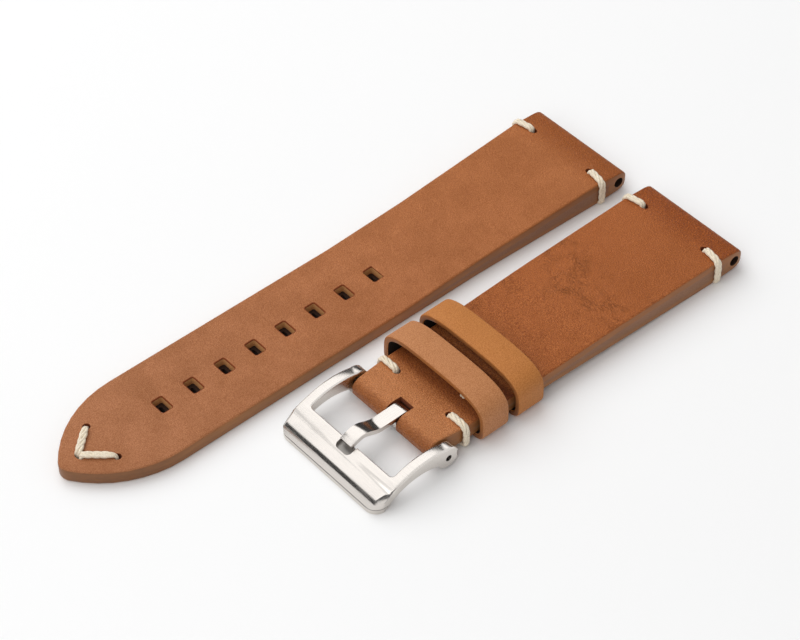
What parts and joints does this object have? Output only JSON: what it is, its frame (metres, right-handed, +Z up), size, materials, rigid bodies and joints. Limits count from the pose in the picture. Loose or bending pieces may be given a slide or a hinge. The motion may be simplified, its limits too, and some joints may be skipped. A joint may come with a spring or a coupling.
{
  "type": "watch strap",
  "caption": "Two-piece brown leather watch strap with a steel pin buckle, sprung bar, punched tail, cream corner stitches and two keepers.",
  "frame": {"origin": "centre of the buckle half's lug bore, 2.3 mm above the surface the strap lies on", "axes": "+X along the strap from the lug bore towards the buckle, +Y along the lug bore's axis away from the tail half, +Z up out of the outer leather"},
  "size_m": [0.1164, 0.051, 0.0088],
  "materials": {
    "outer_leather": "matt, fine pebbled grain",
    "keeper_leather": "matt",
    "lining_leather": "matt",
    "filler_board": "burnished edge",
    "thread": "waxed",
    "buckle_steel": "polished with a satin top",
    "bar_steel": "plain"
  },
  "bodies": {
    "buckle_half": {"buckle_half_cover": "outer_leather", "buckle_half_filler": "filler_board", "buckle_half_lining": "lining_leather", "buckle_half_lug_stitch_near": "thread", "buckle_half_lug_stitch_far": "thread", "fold_stitch_near": "thread", "fold_stitch_far": "thread", "fixed_keeper": "keeper_leather", "keeper_anchor_stitches": "thread", "spring_bar_tube": "bar_steel", "spring_bar_spring": "bar_steel"},
    "tail_half": {"tail_cover": "outer_leather", "tail_filler": "filler_board", "tail_lining": "lining_leather", "tail_lug_stitch_near": "thread", "tail_lug_stitch_far": "thread", "tip_stitch_near": "thread", "tip_stitch_far": "thread"},
    "floating_keeper": {"floating_keeper": "keeper_leather"},
    "buckle_frame": {"buckle_frame": "buckle_steel"},
    "buckle_tongue": {"buckle_tongue": "buckle_steel"},
    "spring_bar_tip_near": {"spring_bar_tip_near": "bar_steel"},
    "spring_bar_tip_far": {"spring_bar_tip_far": "bar_steel"}
  },
  "joints": [
    {"name": "tail_lift", "type": "slide", "parent": "buckle_half", "child": "tail_half", "axis": [0, 0, 1], "range_m": [0, 0.1]},
    {"name": "keeper_slide", "type": "slide", "parent": "buckle_half", "child": "floating_keeper", "axis": [0.9993, 0, 0.0361], "range_m": [-0.016, 0.002]},
    {"name": "buckle_hinge", "type": "hinge", "parent": "buckle_half", "child": "buckle_frame", "pos_m": [0.0668, 0, 0.0003], "axis": [0, -1, 0], "range_deg": [-70, 30]},
    {"name": "tongue_hinge", "type": "hinge", "parent": "buckle_frame", "child": "buckle_tongue", "pos_m": [0.0668, 0, 0.0003], "axis": [0, -1, 0], "range_deg": [0, 50]},
    {"name": "near_tip_slide", "type": "slide", "parent": "buckle_half", "child": "spring_bar_tip_near", "axis": [0, -1, 0], "range_m": [0, 0.00125], "stiffness_N_per_m": 800, "springref_m": -0.0005, "deforming": ["spring_bar_spring"]},
    {"name": "far_tip_slide", "type": "slide", "parent": "buckle_half", "child": "spring_bar_tip_far", "axis": [0, 1, 0], "range_m": [0, 0.00125], "stiffness_N_per_m": 800, "springref_m": -0.0005, "deforming": ["spring_bar_spring"]}
  ]
}
